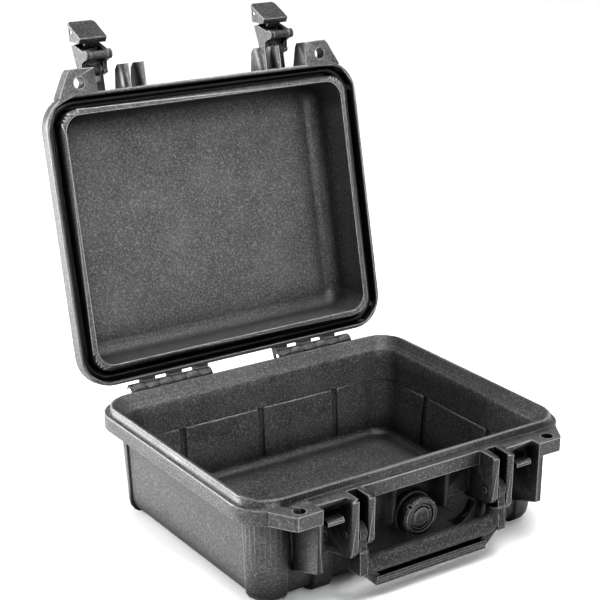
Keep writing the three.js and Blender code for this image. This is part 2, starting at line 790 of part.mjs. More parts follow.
// Drawn about the handle's pivot axis: y forwards is negative, z up.
function handleSolid() {
  const half = handleArmThickness / 2;
  const armX = [handleCentreX - half, handleCentreX + half];
  const gripY = -gripForward;
  const armOutline = shapeOf([
    [-handleEyeRadius * 0.9, 1],
    [-handleEyeRadius * 0.9, -6],
    [gripY - gripRadius, -gripDrop + gripRadius],
    [gripY - gripRadius, -gripDrop - 3],
    [gripY + gripRadius, -gripDrop - 3],
    [gripY + gripRadius, -gripDrop + gripRadius],
    [handleEyeRadius, -3],
    [handleEyeRadius, 1],
  ]);
  const arms = [...bothSides(armOutline, ...armX), ...bothSides(disc(0, 0, handleEyeRadius, 28), ...armX)];

  const path = new THREE.CurvePath();
  const corner = (s) => [
    new THREE.Vector3(s * handleCentreX, gripY, -gripDrop + gripBend),
    new THREE.Vector3(s * handleCentreX, gripY, -gripDrop),
    new THREE.Vector3(s * (handleCentreX - gripBend), gripY, -gripDrop),
  ];
  const left = corner(-1);
  const right = corner(1);
  path.add(new THREE.QuadraticBezierCurve3(...left));
  path.add(new THREE.LineCurve3(left[2], right[2]));
  path.add(new THREE.QuadraticBezierCurve3(...right.reverse()));
  const grip = solidOf(
    new THREE.ExtrudeGeometry(disc(0, 0, gripRadius), { steps: 26, bevelEnabled: false, extrudePath: path }),
  );

  const outerX = handleCentreX + half;
  const top = -gripDrop + 4;
  const knee = -skidDrop + skidChamfer;
  const inX = outerX - skidThickness;
  const inKnee = knee + skidThickness * 0.4;
  const skidOutline = shapeOf([
    [-outerX, top],
    [-outerX, knee],
    [-outerX + skidChamfer, -skidDrop],
    [outerX - skidChamfer, -skidDrop],
    [outerX, knee],
    [outerX, top],
    [inX, top],
    [inX, inKnee],
    [inX - skidChamfer + skidThickness * 0.4, -skidDrop + skidThickness],
    [-inX + skidChamfer - skidThickness * 0.4, -skidDrop + skidThickness],
    [-inX, inKnee],
    [-inX, top],
  ]);
  const skidFront = gripY - skidDepth / 2;
  const railX = outerX - skidChamfer;
  const grooveZ = -skidDrop + skidThickness / 2;
  const grooveHalf = skidGroove / 2;
  const skid = join(
    alongY(skidOutline, gripY - skidEndDepth / 2, gripY + skidEndDepth / 2),
    box(-railX, railX, skidFront, skidFront + skidDepth, -skidDrop, -skidDrop + skidThickness),
  ).subtract(
    box(-railX, railX, skidFront - 1, skidFront + grooveHalf, grooveZ - grooveHalf, grooveZ + grooveHalf),
  );

  // Room for the lugs as the handle swings, so that only the arms enter the slots.
  const lugCorner = Math.hypot(lugReach - handlePivotReach, innerLugDrop - handlePivotDrop) + slotGap / 2;
  const room = [
    ...bothSides(disc(0, 0, 2 * skidDrop, 12), armX[1], outerLugX[1] + slotGap),
    ...bothSides(disc(0, 0, lugCorner, 36), innerLugX[0] - slotGap, armX[0]),
  ];
  const pinHoles = bothSides(disc(0, 0, handlePinRadius + gap), armX[0] - 1, armX[1] + 1);
  return cut(join(cut(grip, room), arms, skid), pinHoles);
}

// ---------------------------------------------------------------- latches
// Each latch piece is drawn about its own pin as it hangs on a closed case, centred on x = 0.
function plainPin(radius, half) {
  const end = radius - pinChamfer;
  const shoulder = half - pinChamfer;
  const side = [[radius, -shoulder], [radius, shoulder]];
  return turnedX([[0, -half], [end, -half], ...side, [end, half], [0, half]], 16);
}

function latchPinSolid() {
  return plainPin(latchPinRadius, latchWidth / 2 + bayGap / 2);
}

function latchArm() {
  const half = latchWidth / 2;
  const innerHalf = half - latchCheek;
  const [outerFace, innerFace] = armPlate;
  const [barY, barZ] = armBarOffset;
  const endHalf = half - leverCheek - gap * 2;
  const clear = latchEyeRadius + 2 * gap;
  const upperPlate = shapeOf([
    [outerFace, -clear],
    [innerFace, -clear],
    [innerFace, -armLength + leverTop + 2.2],
    [outerFace, -armLength + leverTop + 1.1],
  ]);
  const lowerPlate = shapeOf([
    [outerFace + 2.2, -armLength + leverTop + 3],
    [innerFace, -armLength + leverTop + 3],
    [innerFace, -armLength],
    [outerFace + 2.2, -armLength],
  ]);
  const cheek = shapeOf([
    [outerFace, 0],
    [outerFace, -15],
    [innerFace, -19.5],
    [barY - 0.5, barZ - armBarRadius + 0.2],
    [barY + 0.5, barZ + armBarRadius - 0.2],
    [innerFace + 4, -4.2],
    [latchEyeRadius - 0.6, 0],
  ]);
  const heel = shapeOf([
    [outerFace, 0],
    [outerFace, latchEyeRadius - 1],
    [latchEyeRadius - 1.6, latchEyeRadius - 1],
    [latchEyeRadius - 0.6, latchEyeRadius - 2],
    [latchEyeRadius - 0.6, -latchEyeRadius],
    [outerFace, -latchEyeRadius],
  ]);
  const cheeks = [[-half, -innerHalf], [innerHalf, half]].flatMap(([x0, x1]) => [
    alongX(cheek, x0, x1),
    alongX(heel, x0, x1),
    alongX(disc(barY, barZ, armBarRadius + 0.6), x0, x1),
  ]);
  const bar = alongX(disc(barY, barZ, armBarRadius), -half, half);
  const knuckleHalf = innerHalf - latchEarThickness - 4 * gap;
  const knucklePlate = shapeOf([[outerFace, 0], [outerFace, -clear], [innerFace, -clear], [innerFace, 0]]);
  const knuckle = [
    alongX(disc(0, 0, latchEyeRadius), -knuckleHalf, knuckleHalf),
    alongX(knucklePlate, -knuckleHalf, knuckleHalf),
  ];
  const eye = alongX(disc(0, -armLength, leverEyeRadius), -endHalf, endHalf);
  return cut(
    join(alongX(upperPlate, -half, half), alongX(lowerPlate, -endHalf, endHalf), cheeks, bar, knuckle, eye),
    alongX(disc(0, 0, latchPinRadius + gap), -half - 1, half + 1),
    alongX(disc(0, -armLength, leverPinRadius + gap), -half - 1, half + 1),
  );
}

function latchLever() {
  const half = latchWidth / 2;
  const hookHalf = half - latchCheek - 1.4;
  const pad = shapeOf([
    [-leverFace, -leverBottom + 0.6],
    [-leverFace + 0.6, -leverBottom],
    [-leverFace + leverLip, -leverBottom],
    [-leverFace + leverLip, -hookTop + 1.5],
    [-leverFace + leverPad, -leverEyeRadius - 3],
    [-leverFace + leverPad, leverTop - 0.8],
    [-leverFace + leverPad - 0.8, leverTop],
    [-leverFace + 0.8, leverTop],
    [-leverFace, leverTop - 0.8],
  ]);
  const cheek = shapeOf([
    [-leverFace + 0.5, leverTop - 1.5],
    [-leverFace + 0.5, -leverBottom + 1],
    [-leverFace + leverLip, -leverBottom + 1],
    leverCheekTip,
    [leverCheekTip[0] - 1, leverCheekTip[1] + 1.6],
  ]);
  const hook = shapeOf([
    [-leverFace + 1, -hookTop],
    [-leverFace + 1, -leverBottom + 0.5],
    [hookReach - 1.5, -leverBottom + 0.5],
    [hookReach, -leverBottom + 1.8],
    [hookReach, -hookTop],
  ]);
  const cheeks = bothSides(cheek, half - leverCheek, half);
  const padHalf = half + leverPadOverhang;
  const corner = padHalf - leverPadCorner;
  const shoulder = leverTop - leverPadCorner;
  const padOutline = shapeOf([
    ...arc(corner, shoulder, leverPadCorner, 6, 0, Math.PI / 2),
    ...arc(-corner, shoulder, leverPadCorner, 6, Math.PI / 2, Math.PI / 2),
    [-padHalf, -leverBottom],
    [padHalf, -leverBottom],
  ]);
  const padPlate = alongX(pad, -padHalf, padHalf).intersect(alongY(padOutline, -2 * leverFace, leverFace));
  return cut(
    join(padPlate, ...cheeks, alongX(hook, -hookHalf, hookHalf)),
    alongX(disc(0, 0, leverPinRadius + gap), -half - 1, half + 1),
  );
}

function leverPin() {
  return plainPin(leverPinRadius, latchWidth / 2 - gap);
}

// ---------------------------------------------------------------- pressure vent
// Drawn about the vent's axis; y is measured from the boss's front face, forwards negative.
const ventFaceY = front + flangeOverhang - ventBossHeight;
const ventHeadLength = ventFaceY - (front - ventHeadReach);
const ventCapDepth = ventCapThickness + 1;
const ventWallY = front + cavityInset + ledgeWidth + baseDraft / 3 + 3 * gap; // inside face of the front wall

function ventBody() {
  const tip = -ventHeadLength;
  const stemEnd = ventWallY + ventNutThickness + 1 - ventFaceY;
  const [sealInner, sealOuter] = ventSealRadii;
  const body = turnedY(
    [
      [ventChannelRadius, tip + ventCapDepth + 3],
      [ventMembraneRadius + gap, tip + ventCapDepth + 3],
      [ventMembraneRadius + gap, tip + ventCapDepth],
      [ventCapRadius + gap, tip + ventCapDepth],
      [ventCapRadius + gap, tip + 0.5],
      [ventCapRadius + 0.8, tip],
      [ventHeadRadius - 1.2, tip],
      [ventHeadRadius, tip + 1.4],
      [ventHeadRadius, -gap - 2],
      [ventHeadRadius - 0.8, -gap],
      [sealOuter + gap, -gap],
      [sealOuter + gap, -gap - 1.6],
      [sealInner - gap, -gap - 1.6],
      [sealInner - gap, -gap],
      [ventStemRadius, -gap],
      [ventStemRadius, stemEnd - 0.8],
      [ventStemRadius - 0.8, stemEnd],
      [ventChannelRadius, stemEnd],
      [ventChannelRadius, tip + ventCapDepth + 3],
    ],
    32,
  );
  const notch = (angle) =>
    box(-1.1, 1.1, tip - 1, tip + 3, ventHeadRadius - 1.4, ventHeadRadius + 2).rotate([0, angle, 0]);
  return cut(body, [45, 135, 225, 315].map(notch));
}

function ventCap() {
  const back = -ventHeadLength + ventCapDepth - gap;
  const face = back - ventCapThickness;
  const cap = turnedY(
    [
      [0, face - 0.5],
      [5.6, face - 0.5],
      [6, face],
      [ventCapRadius - 0.5, face],
      [ventCapRadius, face + 0.5],
      [ventCapRadius, back],
      [0, back],
    ],
    32,
  );
  // Two arc slots that let air past the cap.
  const slot = (start) => {
    const sweep = 2.1;
    const outline = [...arc(0, 0, 8.2, 8, start, sweep), ...arc(0, 0, 7, 8, start, sweep).reverse()];
    return alongY(shapeOf(outline), face - 1, back + 1);
  };
  return cut(cap, slot(0.52), slot(0.52 + Math.PI));
}

function ventMembrane() {
  const back = -ventHeadLength + ventCapDepth + 3 - gap;
  return turnedY([[0, back - 1], [ventMembraneRadius, back - 1], [ventMembraneRadius, back], [0, back]], 24);
}

function ventSeal() {
  const [inner, outer] = ventSealRadii;
  return turnedY([[inner, -1.6], [outer, -1.6], [outer, -gap], [inner, -gap], [inner, -1.6]], 28);
}

function ventNut() {
  const start = ventWallY + gap - ventFaceY;
  const end = start + ventNutThickness;
  const nut = turnedY([[0, start], [ventNutRadius, start], [ventNutRadius, end], [0, end]], 6);
  return cut(nut, alongY(disc(0, 0, ventStemRadius + gap), start - 1, end + 1));
}

// ---------------------------------------------------------------- assembly
const finishes = {
  shell: { color: 0x3d3e3e, roughness: 0.62, metalness: 0 },
  moulded: { color: 0x2c2d2d, roughness: 0.55, metalness: 0 },
  rubber: { color: 0x101010, roughness: 0.75, metalness: 0 },
  steel: { color: 0xb9bcbe, roughness: 0.28, metalness: 1 },
  membrane: { color: 0x8a8d8c, roughness: 0.9, metalness: 0 },
};

function piece(name, solid, finish) {
  const mesh = new THREE.Mesh(geometryOf(solid), new THREE.MeshStandardMaterial(finishes[finish]));
  mesh.name = name;
  return mesh;
}

function place(object, x, y, z) {
  object.position.set(x, y, z);
  return object;
}

const group = new THREE.Group();
const base = place(new THREE.Group(), 0, 0, baseHeight);
group.add(base);
base.add(piece("base_shell", baseShell(), "shell"));

const handle = place(piece("carry_handle", handleSolid(), "moulded"), 0, ...handlePivot);
base.add(handle);

const vent = place(new THREE.Group(), 0, ventFaceY, -ventDrop);
vent.add(piece("vent_body", ventBody(), "moulded"));
vent.add(piece("vent_cap", ventCap(), "moulded"));
vent.add(piece("vent_membrane", ventMembrane(), "membrane"));
vent.add(piece("vent_seal", ventSeal(), "rubber"));
vent.add(piece("vent_nut", ventNut(), "moulded"));
base.add(vent);

// The lid's pieces are drawn in the closed place and turned back about the hinge axis.
const hinge = place(new THREE.Group(), 0, hingeY, 0);
hinge.rotation.x = -THREE.MathUtils.degToRad(lidOpenAngle);
const lid = place(new THREE.Group(), 0, -hingeY, 0);
hinge.add(lid);
base.add(hinge);
lid.add(piece("lid_shell", lidShell(), "shell"));
lid.add(piece("lid_gasket", lidGasket(), "rubber"));

for (const [side, s] of [["left", -1], ["right", 1]]) {
  const pin = place(piece(`hinge_pin_${side}`, hingePin(), "steel"), s * hingeInnerX, hingeY, 0);
  if (s < 0) pin.rotation.y = Math.PI;
  base.add(pin);
  base.add(place(piece(`handle_pin_${side}`, handlePin(), "moulded"), s * handleCentreX, ...handlePivot));

  const latch = place(new THREE.Group(), s * latchCentreX, ...latchPin);
  latch.add(piece(`latch_pin_${side}`, latchPinSolid(), "steel"));
  const arm = new THREE.Group();
  arm.rotation.x = -THREE.MathUtils.degToRad(armOpenAngle);
  arm.add(piece(`latch_arm_${side}`, latchArm(), "moulded"));
  const lever = place(new THREE.Group(), 0, 0, -armLength);
  lever.rotation.x = THREE.MathUtils.degToRad(leverOpenAngle);
  lever.add(piece(`latch_lever_${side}`, latchLever(), "moulded"));
  arm.add(place(piece(`latch_lever_pin_${side}`, leverPin(), "steel"), 0, 0, -armLength));
  arm.add(lever);
  latch.add(arm);
  lid.add(latch);
}

export default group;
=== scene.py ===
"""Hard equipment case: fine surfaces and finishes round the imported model."""

import json
import math

import bpy
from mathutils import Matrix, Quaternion, Vector


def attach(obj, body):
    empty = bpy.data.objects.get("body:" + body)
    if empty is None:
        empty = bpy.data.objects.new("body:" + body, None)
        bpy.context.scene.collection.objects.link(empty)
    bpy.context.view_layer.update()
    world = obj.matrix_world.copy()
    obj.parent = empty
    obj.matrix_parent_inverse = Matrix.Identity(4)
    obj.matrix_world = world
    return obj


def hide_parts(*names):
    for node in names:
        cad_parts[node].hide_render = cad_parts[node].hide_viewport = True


bl_info = {
    "name": "Hard Equipment Case",
    "version": (1, 0, 0),
    "blender": (4, 5, 0),
    "location": "View3D > Sidebar > Case",
    "description": "Builds the fine surfaces, fittings and studio of a hard equipment case",
    "category": "Object",
}

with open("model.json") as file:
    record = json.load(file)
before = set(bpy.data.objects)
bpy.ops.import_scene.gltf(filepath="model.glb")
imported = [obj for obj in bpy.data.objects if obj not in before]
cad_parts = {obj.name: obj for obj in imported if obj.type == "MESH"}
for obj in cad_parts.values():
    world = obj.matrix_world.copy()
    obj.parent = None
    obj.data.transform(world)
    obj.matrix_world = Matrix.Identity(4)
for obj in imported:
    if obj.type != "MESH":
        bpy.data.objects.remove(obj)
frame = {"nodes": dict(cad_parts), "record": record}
NODES = frame["nodes"]
BODIES = frame["record"]["behaviour"]["bodies"]
BODY_OF = {node: body for body, members in BODIES.items() for node in members}
SLOT_OF = {s["node"]: s["material_slot"] for s in frame["record"]["subparts"]}
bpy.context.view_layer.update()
MM = 0.001
SIDES = ("left", "right")

# mesh clean-up and shading, lengths in metres and angles in degrees
MERGE_DISTANCE = 2e-6
FLAT_ANGLE = 0.4
SMOOTH_ANGLE = 32
SHARP_ANGLE = 28
PLASTIC_SPECULAR = 0.36

# studio: name, place, aim, size and spread of each area light, in metres and degrees
LAMPS = (
    ("Key", (-1.1, 0.95, 0.3), (0, 0, 0.12), 0.5, 180),
    ("Top", (0.1, -0.25, 1.6), (0, 0, 0.12), 0.8, 180),
    ("Fill", (-0.05, -1.3, 1.05), (0, 0.15, 0.26), 0.4, 26),
)
FLOOR_SIZE = 8
FLOOR_DROP = 0.2 * MM
FLOOR_WHITE = (0.97, 0.97, 0.97, 1)
FLOOR_ROUGHNESS = 0.9
CAMERA_PLACE = (-0.6298, -0.8682, 0.5432)
CAMERA_ROLL = 0.65
CAMERA_LENS = 97.97
CAMERA_SENSOR = 36
CAMERA_SHIFT = (-0.0071, 0.0543)
CAMERA_NEAR = 0.05


# ---------------------------------------------------------------- settings
class CaseSizes(bpy.types.PropertyGroup):
    fitting_edge: bpy.props.FloatProperty(
        name="Fitting edge rounding", description="Radius on the latches, handle and vent",
        default=0.3 * MM, unit="LENGTH")
    pin_dome: bpy.props.FloatProperty(
        name="Pin head rounding", description="Radius on the heads of the handle's pins",
        default=0.5 * MM, unit="LENGTH")
    grain: bpy.props.FloatProperty(
        name="Grain depth", description="Depth of the moulded grain",
        default=0.3 * MM, unit="LENGTH")


class CaseFinishes(bpy.types.PropertyGroup):
    shell: bpy.props.FloatVectorProperty(
        name="Shell", description="Moulded polypropylene", subtype="COLOR",
        default=(0.047, 0.0475, 0.048), min=0, max=1)
    # Pale edge colour: partly rubbed wear, partly a painted highlight along the shell edges.
    shell_wear_and_highlight: bpy.props.FloatVectorProperty(
        name="Shell edges", description="Rubbed edges and painted highlight of the shells", subtype="COLOR",
        default=(0.46, 0.46, 0.46), min=0, max=1)
    fittings: bpy.props.FloatVectorProperty(
        name="Fittings", description="Latches, handle and vent", subtype="COLOR",
        default=(0.018, 0.0182, 0.0185), min=0, max=1)
    # Pale edge colour: partly rubbed wear, partly a painted highlight along the fitting edges.
    fittings_wear_and_highlight: bpy.props.FloatVectorProperty(
        name="Fitting edges", description="Rubbed edges and painted highlight of the fittings", subtype="COLOR",
        default=(0.4, 0.4, 0.4), min=0, max=1)
    seal: bpy.props.FloatVectorProperty(
        name="Seal", description="Ring seal", subtype="COLOR",
        default=(0.012, 0.012, 0.012), min=0, max=1)
    steel: bpy.props.FloatVectorProperty(
        name="Pins", description="Stainless pins", subtype="COLOR",
        default=(0.55, 0.55, 0.54), min=0, max=1)
    film: bpy.props.FloatVectorProperty(
        name="Vent film", description="Breathable film", subtype="COLOR",
        default=(0.25, 0.25, 0.25), min=0, max=1)


class CaseStudio(bpy.types.PropertyGroup):
    azimuth: bpy.props.FloatProperty(
        name="Camera azimuth", description="Turn round the case from the front towards its left",
        default=math.radians(34.95), subtype="ANGLE")
    elevation: bpy.props.FloatProperty(
        name="Camera elevation", description="Height of the view",
        default=math.radians(20.62), subtype="ANGLE")
    key: bpy.props.FloatProperty(
        name="Key light", description="Watts from the left and behind", default=32.0)
    top: bpy.props.FloatProperty(
        name="Top light", description="Watts from above", default=20.0)
    fill: bpy.props.FloatProperty(
        name="Fill light", description="Watts on the lid from the front", default=0.7)
    sky: bpy.props.FloatProperty(
        name="Surroundings", description="Strength of the white studio", default=0.62)


# ---------------------------------------------------------------- mesh helpers
def only(obj):
    bpy.ops.object.select_all(action="DESELECT")
    obj.select_set(True)
    bpy.context.view_layer.objects.active = obj


def surface_of(node, name, edge, segments):
    """A fine surface for a CAD node: its merged mesh, its sharp edges rounded by edge unless that is 0."""
    obj = NODES[node].copy()
    obj.data = NODES[node].data.copy()
    obj.name = obj.data.name = name
    for key in list(obj.keys()):
        del obj[key]
    obj.parent = None
    bpy.context.scene.collection.objects.link(obj)
    only(obj)
    bpy.ops.object.mode_set(mode="EDIT")
    bpy.ops.mesh.select_all(action="SELECT")
    bpy.ops.mesh.remove_doubles(threshold=MERGE_DISTANCE)
    if edge:
        bpy.ops.mesh.dissolve_limited(angle_limit=math.radians(FLAT_ANGLE))
    bpy.ops.object.mode_set(mode="OBJECT")
    if edge:
        bevel = obj.modifiers.new("Edge rounding", "BEVEL")
        bevel.width = edge
        bevel.segments = segments
        bevel.limit_method = "ANGLE"
        bevel.angle_limit = math.radians(SHARP_ANGLE)
        bevel.use_clamp_overlap = False
        bevel.miter_outer = "MITER_SHARP"
        bpy.ops.object.modifier_apply(modifier=bevel.name)
    bpy.ops.object.shade_smooth_by_angle(angle=math.radians(SMOOTH_ANGLE))
    even = obj.modifiers.new("Even shading", "WEIGHTED_NORMAL")
    even.keep_sharp = True
    even.weight = 100
    bpy.ops.object.modifier_apply(modifier=even.name)
    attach(obj, BODY_OF[node])
    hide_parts(node)
    return obj


# ---------------------------------------------------------------- shader helpers
def place(tree, kind, x, y, **settings):
    """A shader node at (x, y); settings named as sockets fill them, the others are its properties."""
    node = tree.nodes.new(kind)
    node.location = (x, y)
    for key, value in settings.items():
        name = key.replace("_", " ").title()
        if name in node.inputs:
            node.inputs[name].default_value = value
        else:
            setattr(node, key, value)
    return node


def maths(tree, operation, x, y, first, second, third=None, clamp=False):
    """The socket of a maths node whose values are sockets or plain numbers."""
    node = place(tree, "ShaderNodeMath", x, y, operation=operation, use_clamp=clamp)
    for slot, value in enumerate((first, second, third)):
        if isinstance(value, (int, float)):
            node.inputs[slot].default_value = value
        elif value is not None:
            tree.links.new(value, node.inputs[slot])
    return node.outputs[0]


def new_group(name, inputs, outputs):
    """An empty node group; inputs are {name: default} and outputs are {name: socket type}."""
    tree = bpy.data.node_groups.new(name, "ShaderNodeTree")
    for label, default in inputs.items():
        socket = tree.interface.new_socket(label, in_out="INPUT", socket_type="NodeSocketFloat")
        socket.default_value = default
    for label, kind in outputs.items():
        tree.interface.new_socket(label, in_out="OUTPUT", socket_type=kind)
    return tree, tree.nodes.new("NodeGroupInput"), tree.nodes.new("NodeGroupOutput")


def moulded_grain():
    """Fine pebbled grain of a spark-eroded mould, with cloudy flow marks."""
    tree, given, result = new_group(
        "Moulded grain",
        {"Grain Size": 0.8 * MM, "Cloud Size": 30 * MM},
        {"Height": "NodeSocketFloat", "Cloud": "NodeSocketFloat", "Speckle": "NodeSocketFloat"},
    )
    where = place(tree, "ShaderNodeTexCoord", -900, 0)
    fine_scale = maths(tree, "DIVIDE", -700, 200, 1.0, given.outputs["Grain Size"])
    cloud_scale = maths(tree, "DIVIDE", -700, -200, 1.0, given.outputs["Cloud Size"])
    fine = place(tree, "ShaderNodeTexNoise", -500, 250, detail=3.0, roughness=0.6)
    pebble = place(tree, "ShaderNodeTexVoronoi", -500, 0, feature="SMOOTH_F1")
    cloud = place(tree, "ShaderNodeTexNoise", -500, -250, detail=5.0, roughness=0.65)
    speckle = place(tree, "ShaderNodeTexNoise", -500, -500, detail=2.0, roughness=0.7)
    for node, scale in ((fine, fine_scale), (pebble, fine_scale), (cloud, cloud_scale)):
        tree.links.new(where.outputs["Object"], node.inputs["Vector"])
        tree.links.new(scale, node.inputs["Scale"])
    tree.links.new(where.outputs["Object"], speckle.inputs["Vector"])
    tree.links.new(maths(tree, "MULTIPLY", -700, -450, fine_scale, 0.8), speckle.inputs["Scale"])
    height = maths(tree, "MULTIPLY", -250, 150, fine.outputs["Fac"], 0.65)
    height = maths(tree, "MULTIPLY_ADD", -80, 150, pebble.outputs["Distance"], 0.35, height)
    tree.links.new(height, result.inputs["Height"])
    for source, label, low, high in ((cloud, "Cloud", 0.36, 0.64), (speckle, "Speckle", 0.46, 0.72)):
        spread = place(tree, "ShaderNodeMapRange", -250, -300, from_min=low, from_max=high)
        tree.links.new(source.outputs["Fac"], spread.inputs["Value"])
        tree.links.new(spread.outputs["Result"], result.inputs[label])
    return tree


def edge_wear_and_highlight():
    """Rounded normals along every edge, and a broken mask that paints them pale: partly rubbed wear, partly
    painted highlight, on hollow edges as well as outer ones.
    """
    tree, given, result = new_group(
        "Edge wear",
        {"Radius": 0.8 * MM, "Breakup": 0.4},
        {"Edge": "NodeSocketFloat", "Rounded": "NodeSocketVector"},
    )
    rounded = place(tree, "ShaderNodeBevel", -700, 100, samples=4)
    tree.links.new(given.outputs["Radius"], rounded.inputs["Radius"])
    surface = place(tree, "ShaderNodeNewGeometry", -700, -100)
    across = place(tree, "ShaderNodeVectorMath", -500, 0, operation="DOT_PRODUCT")
    tree.links.new(rounded.outputs["Normal"], across.inputs[0])
    tree.links.new(surface.outputs["Normal"], across.inputs[1])
    bend = maths(tree, "SUBTRACT", -320, 0, 1.0, across.outputs["Value"])
    bend = maths(tree, "MULTIPLY", -160, 0, bend, 12.0, clamp=True)
    where = place(tree, "ShaderNodeTexCoord", -900, -300)
    patchy = place(tree, "ShaderNodeTexNoise", -700, -300, scale=240.0, detail=4.0, roughness=0.7)
    tree.links.new(where.outputs["Object"], patchy.inputs["Vector"])
    rubbed = maths(tree, "MULTIPLY", -500, -300, patchy.outputs["Fac"], given.outputs["Breakup"])
    kept = maths(tree, "SUBTRACT", -320, -200, 1.0, rubbed)
    # The edge mask paints outer and hollow edges pale alike: partly rubbed wear, partly painted highlight.
    tree.links.new(maths(tree, "MULTIPLY", 0, 0, bend, kept, clamp=True), result.inputs["Edge"])
    tree.links.new(rounded.outputs["Normal"], result.inputs["Rounded"])
    return tree


def painted_crevice_shade():
    """Painted shade: an ambient occlusion mask that falls off in corners, slots and behind ribs, and darkens
    the colour there.
    """
    tree, given, result = new_group("Crevice", {"Reach": 12 * MM}, {"Open": "NodeSocketFloat"})
    # Ambient occlusion: painted shade that darkens corners, slots and behind ribs.
    near = place(tree, "ShaderNodeAmbientOcclusion", -400, 0, samples=4)
    tree.links.new(given.outputs["Reach"], near.inputs["Distance"])
    tree.links.new(maths(tree, "POWER", -150, 0, near.outputs["AO"], 3.0), result.inputs["Open"])
    return tree


def shared_groups():
    return {"grain": moulded_grain(), "wear_and_highlight": edge_wear_and_highlight(), "painted_shade": painted_crevice_shade()}


def blend(tree, x, y, factor, first, second, kind="MIX"):
    """Mixes two colours, each a socket or plain numbers, by a socket or plain factor."""
    node = place(tree, "ShaderNodeMix", x, y, data_type="RGBA", blend_type=kind, clamp_result=True)
    for slot, value in ((0, factor), (6, first), (7, second)):
        if hasattr(value, "is_linked"):
            tree.links.new(value, node.inputs[slot])
        elif slot:
            node.inputs[slot].default_value = (*value, 1)
        else:
            node.inputs[slot].default_value = value
    return node.outputs[2]


def moulded(name, groups, colour, wear_and_highlight_colour, roughness, grain_size, grain_depth, wear_and_highlight_radius, painted_shade_reach,
            mottle, fleck):
    """Moulded plastic or rubber: grain, cloudy tone, pale edges that are partly rubbed wear and partly
    painted highlight, and painted shade in corners.

    mottle is the share by which the tone drifts, and fleck how many times paler the finest specks are.
    """
    material = bpy.data.materials.new(name)
    material.use_nodes = True
    tree = material.node_tree
    shader = tree.nodes["Principled BSDF"]
    shader.inputs["Specular IOR Level"].default_value = PLASTIC_SPECULAR
    nodes = {}
    for row, (key, group) in enumerate(groups.items()):
        node = place(tree, "ShaderNodeGroup", -1200, 300 - 300 * row)
        node.node_tree = group
        nodes[key] = node
    grain, wear_and_highlight, painted_shade = nodes["grain"], nodes["wear_and_highlight"], nodes["painted_shade"]
    grain.inputs["Grain Size"].default_value = grain_size
    wear_and_highlight.inputs["Radius"].default_value = wear_and_highlight_radius
    painted_shade.inputs["Reach"].default_value = painted_shade_reach
    dark, pale, speck = ([channel * share for channel in colour] for share in (1 - mottle, 1 + mottle, fleck))
    tone = blend(tree, -900, 300, grain.outputs["Cloud"], dark, pale)
    tone = blend(tree, -700, 300, grain.outputs["Speckle"], tone, speck)
    # Edges blended towards the pale colour: partly rubbed wear, partly painted highlight.
    tone = blend(tree, -500, 300, wear_and_highlight.outputs["Edge"], tone, wear_and_highlight_colour)
    # Painted shade: the colour is darkened by the ambient occlusion mask.
    shade = maths(tree, "MULTIPLY_ADD", -700, -200, painted_shade.outputs["Open"], 0.98, 0.02)
    tone = blend(tree, -300, 300, 1.0, tone, shade, "MULTIPLY")
    tree.links.new(tone, shader.inputs["Base Color"])
    rough = maths(tree, "MULTIPLY_ADD", -500, 0, grain.outputs["Cloud"], 0.12, roughness - 0.06)
    rough = maths(tree, "MULTIPLY_ADD", -300, 0, wear_and_highlight.outputs["Edge"], -0.1, rough)
    tree.links.new(rough, shader.inputs["Roughness"])
    bump = place(tree, "ShaderNodeBump", -300, -300, strength=1.0, distance=grain_depth)
    tree.links.new(grain.outputs["Height"], bump.inputs["Height"])
    tree.links.new(wear_and_highlight.outputs["Rounded"], bump.inputs["Normal"])
    tree.links.new(bump.outputs["Normal"], shader.inputs["Normal"])
    return material


def steel(name, groups, colour):
    """Turned stainless pin stock: fine rings, and bright edges and ends that are partly wear and partly
    painted highlight.
    """
    material = bpy.data.materials.new(name)
    material.use_nodes = True
    tree = material.node_tree
    shader = tree.nodes["Principled BSDF"]
    shader.inputs["Metallic"].default_value = 1.0
    where = place(tree, "ShaderNodeTexCoord", -1000, 0)
    rings = place(tree, "ShaderNodeTexNoise", -600, 0, scale=900.0, detail=3.0, roughness=0.5)
    stretch = place(tree, "ShaderNodeMapping", -800, 0)
    stretch.inputs["Scale"].default_value = (6, 0.4, 0.4)  # the pins lie along X, so this draws rings
    tree.links.new(where.outputs["Object"], stretch.inputs["Vector"])
    tree.links.new(stretch.outputs["Vector"], rings.inputs["Vector"])
    wear_and_highlight = place(tree, "ShaderNodeGroup", -800, -300)
    wear_and_highlight.node_tree = groups["wear_and_highlight"]
    tone = blend(tree, -300, 200, rings.outputs["Fac"], [channel * 0.75 for channel in colour], colour)
    # Edges and ends blended bright: partly worn metal, partly painted highlight.
    tone = blend(tree, -100, 200, wear_and_highlight.outputs["Edge"], tone, (0.8, 0.8, 0.78))
    tree.links.new(tone, shader.inputs["Base Color"])
    rough = maths(tree, "MULTIPLY_ADD", -300, 0, rings.outputs["Fac"], 0.25, 0.2)
    tree.links.new(rough, shader.inputs["Roughness"])
    bump = place(tree, "ShaderNodeBump", -300, -300, strength=0.3, distance=0.02 * MM)
    tree.links.new(rings.outputs["Fac"], bump.inputs["Height"])
    tree.links.new(wear_and_highlight.outputs["Rounded"], bump.inputs["Normal"])
    tree.links.new(bump.outputs["Normal"], shader.inputs["Normal"])
    return material


def paint(obj, material):
    obj.data.materials.clear()
    obj.data.materials.append(material)


# ---------------------------------------------------------------- pieces
FINISH_NAMES = {
    "case": "Grained polypropylene",
    "fittings": "Satin nylon",
    "seal": "Seal rubber",
    "steel": "Pin steel",
    "membrane": "Vent film",
}


def dress(node, edge, segments=2):
    """Replaces a CAD node by its fine surface, in the finish of its material slot."""
    obj = surface_of(node, node + "_surface", edge, segments)
    paint(obj, bpy.data.materials[FINISH_NAMES[SLOT_OF[node]]])
    return obj


